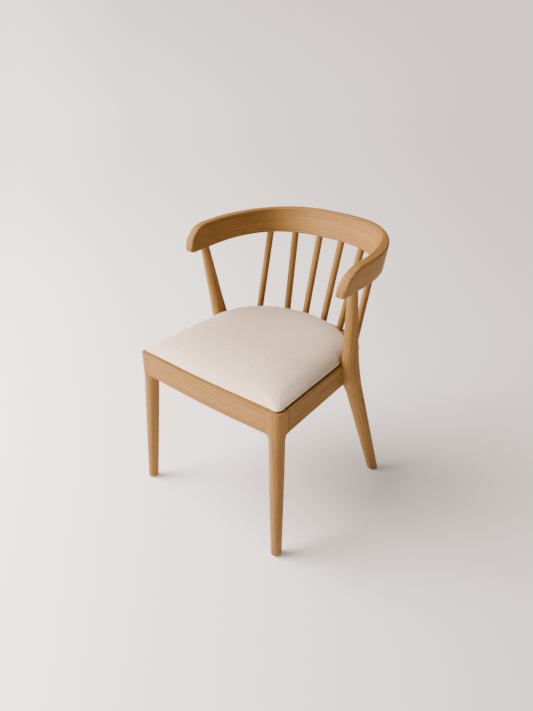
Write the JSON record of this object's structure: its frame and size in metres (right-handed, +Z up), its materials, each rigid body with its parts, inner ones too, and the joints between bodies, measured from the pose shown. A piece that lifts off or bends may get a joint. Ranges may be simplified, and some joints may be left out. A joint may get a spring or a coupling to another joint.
{
  "type": "armchair",
  "caption": "Wooden armchair with a curved crest that runs on into the arms, round spindles, bent one-piece rear legs and an upholstered seat pad.",
  "frame": {"origin": "on the floor, under the middle of the chair's footprint", "axes": "+Z up, the chair faces -Y, +X is to the right of someone looking at it from the front"},
  "size_m": [0.5518, 0.6082, 0.7487],
  "materials": {
    "oak": "matte oiled light oak",
    "beech": "planed, unfinished",
    "plywood": "unfinished birch plywood",
    "seat_fabric": "oatmeal plain weave",
    "foam": "open-cell foam",
    "black_cloth": "non-woven cloth",
    "steel": "zinc plated",
    "glide_plastic": "matte"
  },
  "bodies": {
    "root": {"front_leg_right": "oak", "front_leg_left": "oak", "rear_leg_right": "oak", "rear_leg_left": "oak", "side_rail_right": "oak", "side_rail_left": "oak", "arm_right": "oak", "arm_left": "oak", "spindle_inner_right": "oak", "spindle_inner_left": "oak", "spindle_middle_right": "oak", "spindle_middle_left": "oak", "spindle_outer_right": "oak", "spindle_outer_left": "oak", "front_rail": "oak", "rear_rail": "oak", "crest": "oak", "corner_block_front_right": "beech", "corner_block_front_left": "beech", "corner_block_rear_right": "beech", "corner_block_rear_left": "beech", "loose_tenon_lower_right": "beech", "loose_tenon_lower_left": "beech", "loose_tenon_upper_right": "beech", "loose_tenon_upper_left": "beech", "block_screw_front_a_right": "steel", "block_screw_front_a_left": "steel", "block_screw_front_b_right": "steel", "block_screw_front_b_left": "steel", "block_screw_rear_a_right": "steel", "block_screw_rear_a_left": "steel", "block_screw_rear_b_right": "steel", "block_screw_rear_b_left": "steel", "seat_screw_front_right": "steel", "seat_screw_front_left": "steel", "seat_screw_rear_right": "steel", "seat_screw_rear_left": "steel", "glide_front_right": "glide_plastic", "glide_front_left": "glide_plastic", "glide_rear_right": "glide_plastic", "glide_rear_left": "glide_plastic", "seat_board": "plywood", "seat_foam": "foam", "seat_cover": "seat_fabric", "dust_cover": "black_cloth"}
  },
  "joints": []
}
